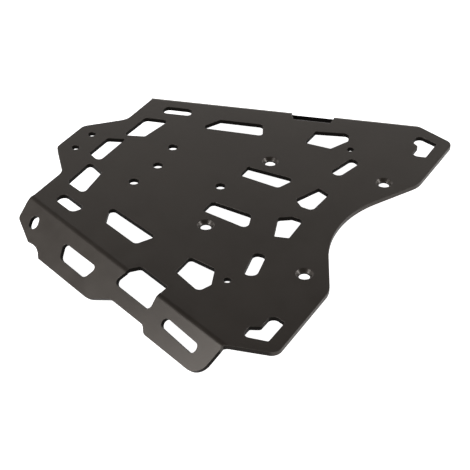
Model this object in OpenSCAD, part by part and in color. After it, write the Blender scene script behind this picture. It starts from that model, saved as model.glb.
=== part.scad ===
// Motorcycle luggage rack: one sheet of metal with a flat deck on top and both
// long sides folded down along slanted lines.
// Millimetres. X forward to the seat, Y to the left, Z up.
// Origin: middle of the rack seen from above, level with the lowest edges of the folded sides.

/* [Sheet and bend] */
// Thickness of the sheet
sheet_t = 4; // [3:0.5:5]
// Radius inside the bend
bend_inner_r = 3; // [2:0.5:4]
// How far the sides are folded below the deck, in degrees
fold = 40; // [35:1:45]
// Slant of the bend lines against the long axis, in degrees
slant = 18.75; // [17.75:0.25:19.75]
// Station on the long axis at which the bend lines are placed
bend_x = -6; // [-8:0.5:-4]
// Distance from the long axis to a bend line at that station
bend_y = 132.4; // [130.4:0.2:134.4]

/* [Deck] */
// Half the length of the deck, from its middle to the tips of the horns
half_length = 153; // [150:0.2:156]
// Half the width of the tail edge
tail_half_w = 20.3; // [16:0.1:24]
// Station of the straight side edges beside the tail
shoulder_x = -124.7; // [-127.5:0.2:-123.5]
// Distance from the axis to the start of those side edges
shoulder_half_w = 50.5; // [46:0.5:56]
// Distance from the axis to the outer corner of a horn
horn_half_w = 164.4; // [160:0.1:166]

/* [Seat arc] */
// Station where the two flanks of the seat arc would cross
seat_arc_x = 108.5; // [106:0.5:112]
// How far that crossing lies to the left of the axis
seat_arc_left = 2.9; // [0:0.1:4]
// Radius of the seat arc
seat_arc_r = 96; // [88:1:112]
// Distance from the axis to the inner corner of the left horn
left_horn_inner_w = 88.8; // [80:0.1:92]
// Distance from the axis to the inner corner of the right horn
right_horn_inner_w = 80; // [78:0.1:90]

/* [Holes] */
// Bore of the fixing holes
fixing_d = 9; // [8:0.5:10]
// Rim of the countersinks
countersink_d = 14.5; // [13:0.5:16]
// Bore of the two small holes at the tail
tail_hole_d = 7; // [6:0.2:8]
// Bore of the small hole beside each bend
side_hole_d = 6.4; // [5.6:0.2:7.2]
// Station of the rear countersunk pair
rear_pair_x = 24.6; // [22:0.2:27]
// Half the spacing of the rear countersunk pair
rear_pair_y = 55; // [54:0.5:57]
// How far the middle of that pair lies to the left of the axis
rear_pair_left = 0.7; // [0:0.1:1]
// Station of the front countersunk pair
front_pair_x = 126; // [124:0.5:128]
// Half the spacing of the front countersunk pair
front_pair_y = 73.7; // [72.7:0.5:74.7]
// How far the middle of that pair lies to the left of the axis
front_pair_left = 2.5; // [0:0.1:3]

/* [Folded sides] */
// Depth of the middle lobe below the bend corner, measured in the folded side
middle_lobe_depth = 37.6; // [36:0.2:39]
// Depth of the front lobe
front_lobe_depth = 31.5; // [30:0.5:33]
// Depth of the tail lobe
tail_lobe_depth = 32; // [30.6:0.2:32.6]
// Depth of the waist between the middle and front lobes
waist_depth = 26.2; // [25:0.2:27]

/* [Opening across the bend] */
// Tail end of the opening, along the bend
gap_tail = 9.7; // [9:0.1:11]
// Front end of the opening, along the bend
gap_front = 49.2; // [48:0.1:50]
// How far the opening reaches into the deck
gap_in_deck = 8.95; // [8:0.05:10]
// How far the opening reaches down the folded side
gap_in_side = 14.3; // [13:0.1:15]

/* [Hidden] */
// Largest gap between an arc and the chords that stand for it
chord_error = 0.012;
// Chords of a round hole
hole_chords = 48;
// Cuts run this far past both faces
past = 1;
// Larger than the sheet reaches to any side
far = 250;
// Further than a folded side reaches outward
side_reach = 70;
// The plan outline meets the ends of the folded sides this far inside the bend at the tail
// and this far outside its start at the front
tail_end_inset = 0.7;
front_end_outset = 2.8;
// Down to this depth the ends of the folded sides are square to the bend
square_end = 3;
bend_outer_r = bend_inner_r + sheet_t;
// From the start of the bend to the corner where the two flat faces would meet
corner_offset = bend_outer_r * tan(fold / 2);
// Top of the deck, to the next hundredth, with the lowest edges at zero
deck_z = ceil(100 * (middle_lobe_depth * sin(fold) + sheet_t * cos(fold))) / 100;
side_tail = (shoulder_x - bend_x - tail_end_inset * sin(slant)) / cos(slant);
side_front = 127.3;
countersink_h = (countersink_d - fixing_d) / 2;

// Plan position of a point along the left bend line and outward from it
function beside_bend(along, out) =
    [bend_x + along * cos(slant) - out * sin(slant), bend_y + along * sin(slant) + out * cos(slant)];

// Each corner below is [x, y, radius], on the left half of the plan. The outline
// goes wide round the folded sides, which have their own edge further down.
half_outline = [
    [-half_length, tail_half_w, 9],
    [shoulder_x, shoulder_half_w, 14],
    concat(beside_bend(side_tail, -tail_end_inset), 0),
    concat(beside_bend(side_tail, side_reach), 0),
    concat(beside_bend(side_front, side_reach), 0),
    concat(beside_bend(side_front, front_end_outset), 0),
    [half_length, horn_half_w, 9],
];
seat_arc = [
    [half_length, left_horn_inner_w, 25],
    [seat_arc_x, seat_arc_left, seat_arc_r],
    [half_length, -right_horn_inner_w, 25],
];
tail_window = [[-112.5, 26, 3], [-111.5, 61.5, 4.8], [-89.5, 68.5, 3.6], [-94, 34, 3.3]];
tail_side_slot = [[-104, 76, 4.9], [-105.5, 88, 5.4], [-81.5, 96, 5.2], [-76.4, 85.3, 4]];
strap_slot = [[-59, 72, 3.4], [-49, 93.5, 1], [-11, 106, 4], [-2, 89, 3.3]];
centre_slot = [[12, 23, 4], [12, 38.5, 1], [57.5, 42, 4.4], [50.5, 23, 4]];
side_window = [[36.5, 98, 3], [61.5, 101, 1], [69.5, 120, 2], [65, 132, 4.6], [36.5, 120, 1]];
arc_window = [[71.5, 15.4, 2.4], [81.2, 40, 1], [93, 36, 1], [91.6, 8, 4.5], [81, 8.2, 2.8]];
front_slot = [[77.7, 67, 4.5], [88.4, 65, 5], [94.7, 92.7, 5.5], [84.7, 97, 4]];
horn_window = [
    [128, 127, 5], [141, 131, 1.2], [140.7, 156, 1.2],
    [120, 161, 4.8], [120.2, 148.3, 1.4], [127.7, 144.2, 2.6],
];
// The only cut-out that isn't mirrored: it lies across the axis at the tail.
tail_slot = [[-121.7, -14, 1], [-121.7, 14.5, 3.6], [-106.6, 21.3, 1], [-106.6, -21, 4]];

// Plain round holes: two on the axis, and one of each pair
axis_hole_stations = [-57.9, 6.4];
plate_hole = [-62.2, 31.6];
tail_hole = [-137.8, 12.8];
side_hole = [77.4, 108.8];

// Each corner below is [along the bend, down the folded side, radius].
side_edge = [
    [side_tail - 0.3, square_end, 0],
    [-122.7, 21, 5],
    [-97.3, tail_lobe_depth, 1.5],
    [-84.5, 30.5, 16],
    [-76.5, middle_lobe_depth, 1],
    [-7.1, middle_lobe_depth, 15],
    [12.8, waist_depth, 10],
    [54.3, waist_depth, 6],
    [60, front_lobe_depth, 6],
    [124.6, front_lobe_depth, 14],
    [side_front + 0.3, square_end, 0],
];
side_long_slot = [[-63.4, 13.3, 3], [-17.8, 13.1, 3.4], [-22.5, 26.4, 5.5], [-56.5, 26.2, 6]];
side_front_slot = [[67.9, 10.2, 3.8], [109.1, 11.8, 4], [109.6, 20.3, 3.4], [68.3, 18.3, 4.2]];
round_slot_r = 4.8;
round_slot_ends = [[-104.9, 15], [-104, 17]];
// The opening across the bend: its bite out of the deck, as [along, outward, radius],
// and the slot below it
bend_bite = [
    [gap_tail, bend_outer_r, 0], [gap_tail, -0.3, 0],
    [gap_tail + 3.4, -gap_in_deck, 3], [gap_front - 2, -gap_in_deck, 1],
    [gap_front, -0.3, 0], [gap_front, bend_outer_r, 0],
];
bend_slot = [
    [gap_tail + 0.4, corner_offset - 0.6, 0], [gap_tail - 4.5, gap_in_side, 4],
    [gap_front + 2.2, gap_in_side, 3.5], [gap_front - 0.2, corner_offset - 0.6, 0],
];

function unit(v) = v / norm(v);
function place(v, i) = let (c = v[(i + len(v)) % len(v)]) [c[0], c[1]];
function arc(centre, r, from, turn) =
    let (steps = ceil(abs(turn) / (2 * acos(1 - chord_error / r))))
    [for (k = [0 : steps]) centre + r * [cos(from + turn * k / steps), sin(from + turn * k / steps)]];

// Points of the arc that rounds corner i of an outline
function corner(v, i) =
    let (p = place(v, i), r = v[i][2])
    r == 0 ? [p] :
    let (
        back = unit(place(v, i - 1) - p),
        ahead = unit(place(v, i + 1) - p),
        half = acos(back * ahead) / 2,
        centre = p + unit(back + ahead) * r / sin(half),
        start = p + back * r / tan(half) - centre,
        way = cross(back, ahead) > 0 ? -1 : 1
    )
    arc(centre, r, atan2(start[1], start[0]), way * (180 - 2 * half));
function rounded(v) = [for (i = [0 : len(v) - 1]) each corner(v, i)];
function mirrored(v) = [for (i = [len(v) - 1 : -1 : 0]) [v[i][0], -v[i][1], v[i][2]]];

// All that lies below one face of the sheet, seen along the left bend:
// [outward, up] from the start of the bend. Depth 0 is the upper face.
function below_face(depth) =
    let (
        bend = arc([0, -bend_outer_r], bend_outer_r - depth, 90, -fold),
        last = bend[len(bend) - 1]
    )
    concat([[-2 * far, -depth]], bend, [[last[0] + (last[1] + far) / tan(fold), -far], [-2 * far, -far]]);

module rack_plate() {
    color([0.24, 0.23, 0.21])
    difference() {
        intersection() {
            folded_sheet();
            through_deck(2 * far)
                polygon(rounded(concat(half_outline, seat_arc, mirrored(half_outline))));
        }
        through_deck() polygon(rounded(tail_slot));
        axis_holes();
        countersunk_pair(rear_pair_x, rear_pair_y, rear_pair_left);
        countersunk_pair(front_pair_x, front_pair_y, front_pair_left);
        both_sides() {
            deck_windows();
            paired_holes();
            bend_frame() {
                side_cuts();
                bend_opening();
            }
        }
    }
}

// The sheet before it is cut: what lies between its two faces
module folded_sheet() {
    difference() {
        below_both(0);
        below_both(sheet_t);
    }
}

module below_both(depth) {
    intersection() {
        below(depth);
        mirror([0, 1, 0]) below(depth);
    }
}

module below(depth) {
    bend_frame()
        translate([-far, 0, 0])
            rotate([90, 0, 90])
                linear_extrude(2 * far)
                    polygon(below_face(depth));
}

module deck_windows() {
    through_deck() {
        polygon(rounded(tail_window));
        polygon(rounded(tail_side_slot));
        polygon(rounded(strap_slot));
        polygon(rounded(centre_slot));
        polygon(rounded(side_window));
        polygon(rounded(arc_window));
        polygon(rounded(front_slot));
        polygon(rounded(horn_window));
    }
}

module axis_holes() {
    for (x = axis_hole_stations) bore([x, 0], fixing_d);
}

module paired_holes() {
    bore(plate_hole, fixing_d);
    bore(tail_hole, tail_hole_d);
    bore(side_hole, side_hole_d);
}

module bore(at, d) {
    translate([at[0], at[1], deck_z - sheet_t - past])
        cylinder(d = d, h = sheet_t + 2 * past, $fn = hole_chords);
}

module countersunk_pair(x, half_spacing, left) {
    countersunk([x, left + half_spacing]);
    countersunk([x, left - half_spacing]);
}

module countersunk(at) {
    bore(at, fixing_d);
    translate([at[0], at[1], deck_z - countersink_h])
        cylinder(d1 = fixing_d, d2 = countersink_d + 2 * past, h = countersink_h + past, $fn = hole_chords);
}

// The lower edge of a folded side and the three slots in it
module side_cuts() {
    through_side() {
        polygon(rounded(concat(side_edge, [
            [far, square_end, 0], [far, far, 0], [-far, far, 0], [-far, square_end, 0],
        ])));
        polygon(rounded(side_long_slot));
        polygon(rounded(side_front_slot));
        round_slot();
    }
}

module round_slot() {
    span = round_slot_ends[1] - round_slot_ends[0];
    lie = atan2(span[1], span[0]);
    polygon(concat(
        arc(round_slot_ends[1], round_slot_r, lie - 90, 180),
        arc(round_slot_ends[0], round_slot_r, lie + 90, 180)
    ));
}

// One opening that crosses the bend: a bite out of the deck's edge that takes
// the whole bend with it, and a slot in the folded side that widens downward.
module bend_opening() {
    translate([0, 0, -sheet_t - bend_outer_r])
        linear_extrude(sheet_t + bend_outer_r + past)
            polygon(rounded(bend_bite));
    through_side() polygon(rounded(bend_slot));
}

module both_sides() {
    children();
    mirror([0, 1, 0]) children();
}

// X along the bend, Y outward, Z up from the deck's top face
module bend_frame() {
    translate([bend_x, bend_y, deck_z])
        rotate([0, 0, slant])
            children();
}

module through_deck(below_deck = past) {
    translate([0, 0, deck_z - sheet_t - below_deck])
        linear_extrude(sheet_t + below_deck + past)
            children();
}

// X along the bend, Y down the folded side, Z out of its upper face
module through_side() {
    translate([0, corner_offset, 0])
        rotate([-fold, 0, 0])
            translate([0, 0, -sheet_t - 2 * past])
                linear_extrude(sheet_t + 4 * past)
                    children();
}

rack_plate();
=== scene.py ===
"""Visual model of a motorcycle luggage rack cut and folded from one sheet of metal."""

import logging
import math
from dataclasses import dataclass, field
from enum import Enum

import bmesh
import bpy
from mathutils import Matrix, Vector


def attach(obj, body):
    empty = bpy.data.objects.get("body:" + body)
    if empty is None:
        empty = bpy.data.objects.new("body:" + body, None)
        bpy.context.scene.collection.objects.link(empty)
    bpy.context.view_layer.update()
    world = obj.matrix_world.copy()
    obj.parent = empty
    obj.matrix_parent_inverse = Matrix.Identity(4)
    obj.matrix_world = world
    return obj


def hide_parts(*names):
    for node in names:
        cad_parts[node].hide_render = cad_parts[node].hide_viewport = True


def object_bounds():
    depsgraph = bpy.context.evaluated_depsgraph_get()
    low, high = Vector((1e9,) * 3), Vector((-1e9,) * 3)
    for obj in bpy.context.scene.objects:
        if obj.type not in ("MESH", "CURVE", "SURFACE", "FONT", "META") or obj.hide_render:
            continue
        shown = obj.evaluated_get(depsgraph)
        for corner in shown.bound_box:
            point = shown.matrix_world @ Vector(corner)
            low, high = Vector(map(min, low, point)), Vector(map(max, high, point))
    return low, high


LOG = logging.getLogger("luggage_rack")
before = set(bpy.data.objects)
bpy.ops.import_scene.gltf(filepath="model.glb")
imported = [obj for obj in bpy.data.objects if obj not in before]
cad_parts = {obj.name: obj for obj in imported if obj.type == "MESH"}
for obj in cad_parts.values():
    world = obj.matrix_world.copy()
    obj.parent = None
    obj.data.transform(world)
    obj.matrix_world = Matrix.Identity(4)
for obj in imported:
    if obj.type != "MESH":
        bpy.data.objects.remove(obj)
CAD_LOW, CAD_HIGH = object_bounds()
PLATE_NODE = "rack_plate"
RIM_MARK = "eased_rim"
# Face attribute of painted shade: how far each cut wall is darkened and dulled as if it lay
# in shadow.
WALL_SHADE = "painted_wall_shade"
RIM_SLOT = 1
MM = 0.001

Colour = tuple[float, float, float]


class Slot(Enum):
    """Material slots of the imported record."""

    POWDER_COAT = "powder_coat"


def clear_selection() -> None:
    """Leave object mode and deselect every object."""
    if bpy.context.object and bpy.context.object.mode != "OBJECT":
        bpy.ops.object.mode_set(mode="OBJECT")
    bpy.ops.object.select_all(action="DESELECT")


def make_active(piece: bpy.types.Object) -> None:
    """Select one object alone and make it the active one.

    Args:
        piece: The object to work on.
    """
    clear_selection()
    piece.select_set(True)
    bpy.context.view_layer.objects.active = piece


@dataclass(frozen=True)
class Grain:
    """A noise pattern, and the range of its values that is stretched to the full effect."""

    scale: float
    detail: float = 2.0
    roughness: float = 0.5
    low: float = 0.3
    high: float = 0.7


@dataclass
class NodeBoard:
    """A material's node tree, with short ways to add and join nodes."""

    material: bpy.types.Material
    tree: bpy.types.NodeTree = field(init=False)
    shader: bpy.types.Node = field(init=False)

    def __post_init__(self) -> None:
        """Start from an empty tree with a principled shader and its output."""
        self.material.use_nodes = True
        self.tree = self.material.node_tree
        self.tree.nodes.clear()
        output = self.add("ShaderNodeOutputMaterial")
        self.shader = self.add("ShaderNodeBsdfPrincipled")
        self.join(self.shader.outputs["BSDF"], output.inputs["Surface"])

    def add(self, kind: str, **settings: object) -> bpy.types.Node:
        """Add a node and set its properties and unlinked inputs.

        Args:
            kind: The node's type name.
            settings: Property names, or input names with spaces as underscores.

        Returns:
            The new node.
        """
        node = self.tree.nodes.new(kind)
        for name, value in settings.items():
            if hasattr(node, name):
                setattr(node, name, value)
            else:
                node.inputs[name.replace("_", " ")].default_value = value
        return node

    def join(self, source: bpy.types.NodeSocket, target: bpy.types.NodeSocket) -> None:
        """Link one socket to another."""
        self.tree.links.new(source, target)

    def feed(self, name: str, source: bpy.types.NodeSocket) -> None:
        """Link a value to one of the shader's inputs."""
        self.join(source, self.shader.inputs[name])

    def fix(self, name: str, value: float | tuple[float, ...]) -> None:
        """Give one of the shader's inputs a constant value."""
        self.shader.inputs[name].default_value = value

    def place(self) -> bpy.types.NodeSocket:
        """Return the object's own coordinates, in metres."""
        return self.add("ShaderNodeTexCoord").outputs["Object"]

    def mark(self, name: str) -> bpy.types.NodeSocket:
        """Return the value that the faces store under a name."""
        return self.add("ShaderNodeAttribute", attribute_name=name).outputs["Fac"]

    def noise(self, where: bpy.types.NodeSocket, grain: Grain) -> bpy.types.NodeSocket:
        """Add a noise texture.

        Args:
            where: The coordinates that it reads.
            grain: Its pattern, with the scale in waves per metre.

        Returns:
            The noise value, about 0 to 1.
        """
        node = self.add(
            "ShaderNodeTexNoise",
            Scale=grain.scale,
            Detail=grain.detail,
            Roughness=grain.roughness,
        )
        self.join(where, node.inputs["Vector"])
        return node.outputs["Fac"]

    def remap(
        self,
        value: bpy.types.NodeSocket,
        low: float,
        high: float,
        new_low: float,
        new_high: float,
    ) -> bpy.types.NodeSocket:
        """Map one range of a value onto another, clamped at both ends.

        Args:
            value: The value to map.
            low: Start of the range that is read.
            high: End of the range that is read.
            new_low: Result at the start.
            new_high: Result at the end.

        Returns:
            The mapped value.
        """
        node = self.add(
            "ShaderNodeMapRange",
            From_Min=low,
            From_Max=high,
            To_Min=new_low,
            To_Max=new_high,
        )
        self.join(value, node.inputs["Value"])
        return node.outputs["Result"]

    def cloud(
        self, where: bpy.types.NodeSocket, grain: Grain, least: float, most: float
    ) -> bpy.types.NodeSocket:
        """Add a noise texture whose own range is stretched onto another.

        Args:
            where: The coordinates that it reads.
            grain: Its pattern.
            least: The lowest result.
            most: The highest result.

        Returns:
            The stretched noise value.
        """
        return self.remap(self.noise(where, grain), grain.low, grain.high, least, most)

    def multiply(
        self, first: bpy.types.NodeSocket, second: bpy.types.NodeSocket
    ) -> bpy.types.NodeSocket:
        """Multiply two values.

        Args:
            first: One value.
            second: The other value.

        Returns:
            Their product.
        """
        node = self.add("ShaderNodeMath", operation="MULTIPLY")
        self.join(first, node.inputs[0])
        self.join(second, node.inputs[1])
        return node.outputs["Value"]

    def blend(
        self,
        amount: bpy.types.NodeSocket,
        first: Colour | bpy.types.NodeSocket,
        second: Colour | bpy.types.NodeSocket,
    ) -> bpy.types.NodeSocket:
        """Mix two colours.

        Args:
            amount: Share of the second colour.
            first: A colour, or a socket that gives one.
            second: A colour, or a socket that gives one.

        Returns:
            The mixed colour.
        """
        node = self.add("ShaderNodeMix", data_type="RGBA")
        self.join(amount, node.inputs["Factor"])
        for name, colour in (("A", first), ("B", second)):
            socket = next(s for s in node.inputs if s.name == name and s.type == "RGBA")
            if isinstance(colour, tuple):
                socket.default_value = (*colour, 1.0)
            else:
                self.join(colour, socket)
        return next(s for s in node.outputs if s.type == "RGBA")

    def bump(
        self,
        height: bpy.types.NodeSocket,
        strength: float,
        distance: float,
        under: bpy.types.NodeSocket | None = None,
    ) -> bpy.types.NodeSocket:
        """Turn a height into a bent normal.

        Args:
            height: The height value.
            strength: Share of the effect.
            distance: Height of a full step, in metres.
            under: A normal that this one lies on.

        Returns:
            The bent normal.
        """
        node = self.add("ShaderNodeBump", Strength=strength, Distance=distance)
        self.join(height, node.inputs["Height"])
        if under is not None:
            self.join(under, node.inputs["Normal"])
        return node.outputs["Normal"]


@dataclass(frozen=True)
class PowderCoat:
    """Satin powder coat: fine orange peel, mottling, thin edges, and painted shade that makes
    the cut walls dark and dull.
    """

    colour: Colour = (0.022, 0.0184, 0.0155)
    mottle: Colour = (0.019, 0.0158, 0.0135)
    mottling: Grain = Grain(18.0, 3.0, low=0.35, high=0.65)
    thin_edge: Colour = (0.030, 0.027, 0.024)
    wear: Grain = Grain(160.0, 3.0)
    least_wear: float = 0.35
    sheen: Colour = (1.0, 0.93, 0.865)
    specular: float = 0.5
    # Painted shade: the nearly black colour of the cut walls and downward rims, which stands
    # in for shadow.
    wall: Colour = (0.005, 0.0043, 0.0038)
    # Painted shade in the reflection: the walls' specular level is turned down as if they saw
    # only shadow.
    wall_specular: float = 0.06
    roughness: float = 0.32
    smoother: float = 0.04
    rougher: float = 0.05
    streaks: Grain = Grain(55.0, 4.0, 0.6)
    peel: Grain = Grain(1400.0, 2.0, 0.4)
    peel_height: float = 0.00001
    peel_strength: float = 0.5
    flow: Grain = Grain(260.0, 1.0, 0.4)
    flow_steps: int = 3
    flow_strength: float = 0.25

    def material(self, name: str) -> bpy.types.Material:
        """Build the material.

        Args:
            name: The material's name.

        Returns:
            The new material.
        """
        board = NodeBoard(bpy.data.materials.new(name))
        where = board.place()
        self.tint(board, where)
        self.shine(board, where)
        self.surface(board, where)
        return board.material

    def tint(self, board: NodeBoard, where: bpy.types.NodeSocket) -> None:
        """Colour the coat: mottled faces, thin edges, and painted shade that makes the walls
        nearly black.

        Args:
            board: The material's nodes.
            where: The coordinates that the patterns read.
        """
        patches = board.cloud(where, self.mottling, 0.0, 1.0)
        body = board.blend(patches, self.colour, self.mottle)
        wear = board.cloud(where, self.wear, self.least_wear, 1.0)
        worn = board.multiply(board.mark(RIM_MARK), wear)
        faces = board.blend(worn, body, self.thin_edge)
        # Painted shade: the faces fade to the nearly black wall colour where the wall shade
        # attribute is set.
        board.feed("Base Color", board.blend(board.mark(WALL_SHADE), faces, self.wall))

    def shine(self, board: NodeBoard, where: bpy.types.NodeSocket) -> None:
        """Set how the coat reflects: warm and satin on the faces, and dull on the walls as
        painted shade.

        Args:
            board: The material's nodes.
            where: The coordinates that the patterns read.
        """
        # Painted shade: the walls reflect less, as if they lay in shadow.
        walls = board.mark(WALL_SHADE)
        gloss = board.remap(walls, 0.0, 1.0, self.specular, self.wall_specular)
        board.feed("Specular IOR Level", gloss)
        smoothest = self.roughness - self.smoother
        roughest = self.roughness + self.rougher
        board.feed("Roughness", board.cloud(where, self.streaks, smoothest, roughest))
        board.fix("Specular Tint", (*self.sheen, 1.0))

    def surface(self, board: NodeBoard, where: bpy.types.NodeSocket) -> None:
        """Bend the normals: fine orange peel, with a wider flow of the coat over it.

        Args:
            board: The material's nodes.
            where: The coordinates that the patterns read.
        """
        peel = board.bump(board.noise(where, self.peel), self.peel_strength, self.peel_height)
        flow_height = self.peel_height * self.flow_steps
        flow = board.noise(where, self.flow)
        board.feed("Normal", board.bump(flow, self.flow_strength, flow_height, peel))


@dataclass(frozen=True)
class StudioFloor:
    """Matt white floor, faintly uneven, that gives some light of its own."""

    glow: float
    glow_colour: Colour = (1.0, 1.0, 1.0)
    colour: Colour = (0.93, 0.93, 0.93)
    shade: Colour = (0.90, 0.90, 0.90)
    grain: Grain = Grain(40.0)
    roughness: float = 0.9
    specular: float = 0.1

    def material(self, name: str) -> bpy.types.Material:
        """Build the material.

        Args:
            name: The material's name.

        Returns:
            The new material.
        """
        board = NodeBoard(bpy.data.materials.new(name))
        grain = board.cloud(board.place(), self.grain, 0.0, 1.0)
        board.feed("Base Color", board.blend(grain, self.shade, self.colour))
        board.fix("Roughness", self.roughness)
        board.fix("Specular IOR Level", self.specular)
        board.fix("Emission Color", (*self.glow_colour, 1.0))
        board.fix("Emission Strength", self.glow)
        return board.material


@dataclass
class RackPlate:
    """The one sheet of the rack, its cut rims eased and its faces powder coated."""

    name: str = "rack_plate_coated"
    sheet: float = 4.0 * MM
    rim_radius: float = 0.25 * MM
    rim_segments: int = 2
    sharp_edge: float = math.radians(30.0)
    flat_edge: float = math.radians(0.4)
    weld_gap: float = 0.000005
    shading_weight: int = 100
    bend_slant: float = math.radians(18.75)
    level_limit: float = 0.03
    least_rise: float = math.cos(math.radians(41.0))
    cone_rise: float = math.sqrt(0.5)
    cone_limit: float = 0.02
    front_facing: float = 0.6
    front_fade: float = 0.4
    finish: PowderCoat = field(default_factory=PowderCoat)

    def build(self) -> bpy.types.Object:
        """Make the plate from a merged copy of the CAD solid.

        Returns:
            The finished plate.
        """
        plate = self.copy_solid()
        self.merge_faces(plate)
        self.paint_wall_shade(plate)
        plate.data.materials.clear()
        for _ in range(RIM_SLOT + 1):
            plate.data.materials.append(None)
        self.ease_rims(plate)
        self.mark_rims(plate)
        plate.data.materials.clear()
        plate.data.materials.append(self.finish.material("powder_coat"))
        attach(plate, "root")
        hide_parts(PLATE_NODE)
        return plate

    def copy_solid(self) -> bpy.types.Object:
        """Copy the CAD solid into an object of its own.

        Returns:
            The copy, at the origin.
        """
        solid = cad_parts[PLATE_NODE]
        plate = bpy.data.objects.new(self.name, solid.data.copy())
        plate.data.name = self.name
        bpy.context.scene.collection.objects.link(plate)
        make_active(plate)
        return plate

    def merge_faces(self, plate: bpy.types.Object) -> None:
        """Join the loose triangles and dissolve the edges inside flat faces.

        Args:
            plate: The copied solid.
        """
        make_active(plate)
        bpy.ops.mesh.customdata_custom_splitnormals_clear()
        bpy.ops.object.mode_set(mode="EDIT")
        bpy.ops.mesh.select_all(action="SELECT")
        bpy.ops.mesh.remove_doubles(threshold=self.weld_gap)
        bpy.ops.mesh.dissolve_limited(angle_limit=self.flat_edge)
        bpy.ops.mesh.normals_make_consistent(inside=False)
        bpy.ops.object.mode_set(mode="OBJECT")

    def paint_wall_shade(self, plate: bpy.types.Object) -> None:
        """Store painted shade on the cut walls: how far each is darkened and dulled as if in
        shadow.

        Args:
            plate: The merged plate, before its rims are eased.
        """
        layer = plate.data.attributes.new(WALL_SHADE, "FLOAT", "FACE")
        mesh = bmesh.new()
        mesh.from_mesh(plate.data)
        rings = sorted(self.wall_rings(mesh), key=len)
        outline = rings.pop()
        # The outer cut edge gets painted shade by which way each part faces.
        for face in outline:
            layer.data[face.index].value = self.wall_shade_share(face)
        # Walls inside the openings get full painted shade. The countersink cones get none.
        for ring in rings:
            for face in ring:
                layer.data[face.index].value = float(not self.is_cone(face))
        mesh.free()

    def wall_rings(self, mesh: bmesh.types.BMesh) -> list[list[bmesh.types.BMFace]]:
        """Gather the cut walls into rings, one round the sheet and one in each opening.

        Args:
            mesh: The merged plate.

        Returns:
            The rings, each a list of faces that join up.
        """
        waiting = {face for face in mesh.faces if self.is_wall(face)}
        rings = []
        while waiting:
            ring = []
            front = [waiting.pop()]
            while front:
                face = front.pop()
                ring.append(face)
                near = {other for edge in face.edges for other in edge.link_faces} & waiting
                waiting -= near
                front.extend(near)
            rings.append(ring)
        return rings

    def is_wall(self, face: bmesh.types.BMFace) -> bool:
        """Tell whether a face is part of a cut edge and not of the sheet's two faces.

        Args:
            face: A face of the merged plate.

        Returns:
            True for a wall or the cone of a countersink.
        """
        side = math.copysign(self.bend_slant, face.calc_center_median().y)
        along = Vector((math.cos(side), math.sin(side), 0.0))
        level = abs(face.normal.dot(along)) < self.level_limit
        return not (level and abs(face.normal.z) > self.least_rise)

    def is_cone(self, face: bmesh.types.BMFace) -> bool:
        """Tell whether a face slopes as the countersinks in the deck do."""
        return abs(abs(face.normal.z) - self.cone_rise) < self.cone_limit

    def wall_shade_share(self, face: bmesh.types.BMFace) -> float:
        """Say how much painted shade a part of the outer cut edge gets, by which way it
        faces.

        Args:
            face: A face of the outer cut edge.

        Returns:
            0 for the edges of the deck that face the front, rising to 1 for the others.
        """
        # Walls below the deck get full painted shade. Deck walls turned away from the front
        # are shaded as if out of the light.
        if face.calc_center_median().z < CAD_HIGH[2] - self.sheet:
            return 1.0
        return min(1.0, max(0.0, (self.front_facing - face.normal.x) / self.front_fade))

    def ease_rims(self, plate: bpy.types.Object) -> None:
        """Round every cut rim a little, and keep the flat faces shaded flat.

        Args:
            plate: The merged plate, with a second material slot for the rounded rims.
        """
        make_active(plate)
        bpy.ops.object.shade_smooth()
        bevel = plate.modifiers.new("eased_rims", "BEVEL")
        bevel.width = self.rim_radius
        bevel.segments = self.rim_segments
        bevel.limit_method = "ANGLE"
        bevel.angle_limit = self.sharp_edge
        bevel.use_clamp_overlap = False
        bevel.material = RIM_SLOT
        bpy.ops.object.modifier_apply(modifier=bevel.name)
        shading = plate.modifiers.new("flat_faces", "WEIGHTED_NORMAL")
        shading.weight = self.shading_weight
        bpy.ops.object.modifier_apply(modifier=shading.name)

    def mark_rims(self, plate: bpy.types.Object) -> None:
        """Store which rounded rims face up, for the thin coat. The others get the walls'
        painted shade.

        Args:
            plate: The plate with its rims eased.
        """
        rims = plate.data.attributes.new(RIM_MARK, "FLOAT", "FACE").data
        walls = plate.data.attributes[WALL_SHADE].data
        for face in plate.data.polygons:
            if face.material_index == RIM_SLOT:
                # Downward rims get the painted wall shade. Upward rims get the thin coat.
                up = float(face.normal.z > 0.0)
                rims[face.index].value = up
                walls[face.index].value = 1.0 - up
            face.material_index = 0


@dataclass(frozen=True)
class SoftBox:
    """A square soft box that faces the rack."""

    name: str
    place: tuple[float, float, float]
    side: float
    watts: float

    def build(self) -> bpy.types.Object:
        """Hang the soft box.

        Returns:
            The light.
        """
        lamp = bpy.data.lights.new(self.name, "AREA")
        lamp.shape = "RECTANGLE"
        lamp.size = self.side
        lamp.size_y = self.side
        lamp.energy = self.watts
        box = bpy.data.objects.new(self.name, lamp)
        box.location = self.place
        box.rotation_euler = (-Vector(self.place)).to_track_quat("-Z", "Y").to_euler()
        bpy.context.scene.collection.objects.link(box)
        return box


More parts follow.
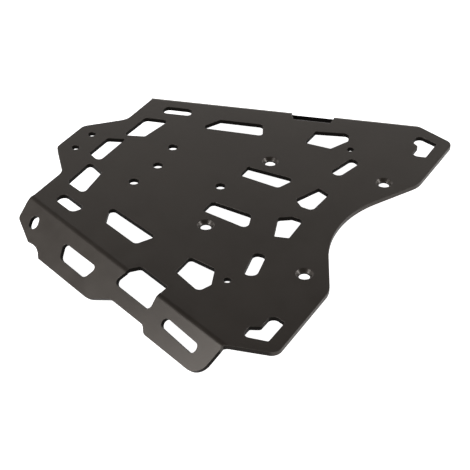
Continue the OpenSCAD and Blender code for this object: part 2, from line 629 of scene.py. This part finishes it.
@dataclass
class Studio:
    """Camera, floors, soft boxes and the room round them."""

    target: Vector = field(default_factory=lambda: Vector((53.0, -54.93, 27.46)) * MM)
    distance: float = 1088.8 * MM
    azimuth: float = math.radians(30.27)
    elevation: float = math.radians(36.66)
    focal_px: float = 1328.0
    frame_px: float = 470.0
    sensor_width: float = 36.0
    clip_start: float = 0.05
    clip_end: float = 30.0
    floor_radius: float = 6.0
    floor_corners: int = 96
    floor_drop: float = 0.5 * MM
    sweep_glow: float = 1.0
    floor_glow: float = 0.4
    room_colour: Colour = (1.0, 0.965, 0.93)
    wall_light: float = 1.62
    ceiling_light: float = 0.0
    ceiling_height: float = 0.80
    boxes: tuple[SoftBox, ...] = (
        SoftBox("side_box", (-0.74, -1.06, 0.86), 0.75, 15.0),
        SoftBox("front_box", (1.04, 0.74, 0.77), 0.42, 6.0),
    )

    def build(self) -> None:
        """Set up the whole studio."""
        self.camera()
        self.floors()
        self.world()
        for box in self.boxes:
            box.build()

    def camera(self) -> bpy.types.Object:
        """Set the camera at the photograph's angle.

        Returns:
            The camera.
        """
        level = math.cos(self.elevation)
        across = math.sin(self.azimuth) * level
        along = -math.cos(self.azimuth) * level
        back = Vector((across, along, math.sin(self.elevation)))
        lens = bpy.data.cameras.new("camera")
        lens.sensor_width = self.sensor_width
        lens.lens = self.focal_px / self.frame_px * self.sensor_width
        lens.clip_start = self.clip_start
        lens.clip_end = self.clip_end
        camera = bpy.data.objects.new("camera", lens)
        camera.location = self.target + back * self.distance
        camera.rotation_mode = "QUATERNION"
        camera.rotation_quaternion = (-back).to_track_quat("-Z", "Y")
        bpy.context.scene.collection.objects.link(camera)
        bpy.context.scene.camera = camera
        return camera

    def floors(self) -> None:
        """Lay the white sweep that is seen, and below it the floor that lights the rack."""
        sweep = self.floor("sweep", 0.0, StudioFloor(self.sweep_glow))
        sweep.visible_diffuse = False
        sweep.visible_glossy = False
        sweep.visible_transmission = False
        sweep.visible_shadow = False
        lower = self.floor("floor", -self.floor_drop, StudioFloor(self.floor_glow))
        lower.visible_camera = False

    def floor(self, name: str, height: float, finish: StudioFloor) -> bpy.types.Object:
        """Lay a round floor under the rack.

        Args:
            name: The floor's name.
            height: Its height in metres.
            finish: Its surface.

        Returns:
            The floor.
        """
        clear_selection()
        bpy.ops.mesh.primitive_circle_add(
            vertices=self.floor_corners,
            radius=self.floor_radius,
            fill_type="NGON",
            location=(0.0, 0.0, height),
        )
        floor = bpy.context.object
        floor.name = name
        bpy.ops.object.transform_apply(location=True, rotation=True, scale=True)
        floor.data.materials.append(finish.material(name))
        return floor

    def world(self) -> None:
        """Light the room from pale walls, with a dark ceiling above them."""
        world = bpy.data.worlds.new("studio")
        world.use_nodes = True
        tree = world.node_tree
        background = tree.nodes["Background"]
        background.inputs["Color"].default_value = (*self.room_colour, 1.0)
        way = tree.nodes.new("ShaderNodeTexCoord")
        split = tree.nodes.new("ShaderNodeSeparateXYZ")
        fall = tree.nodes.new("ShaderNodeMapRange")
        fall.interpolation_type = "SMOOTHSTEP"
        fall.inputs["From Min"].default_value = 0.0
        fall.inputs["From Max"].default_value = self.ceiling_height
        fall.inputs["To Min"].default_value = self.wall_light
        fall.inputs["To Max"].default_value = self.ceiling_light
        tree.links.new(way.outputs["Generated"], split.inputs["Vector"])
        tree.links.new(split.outputs["Z"], fall.inputs["Value"])
        tree.links.new(fall.outputs["Result"], background.inputs["Strength"])
        bpy.context.scene.world = world


def main() -> None:
    """Build the studio and the rack."""
    logging.basicConfig(level=logging.INFO, format="%(name)s: %(message)s")
    bpy.context.scene.view_settings.view_transform = "Standard"
    Studio().build()
    plate = RackPlate().build()
    LOG.info("%s: %d faces", plate.name, len(plate.data.polygons))


if __name__ == "__main__":
    main()
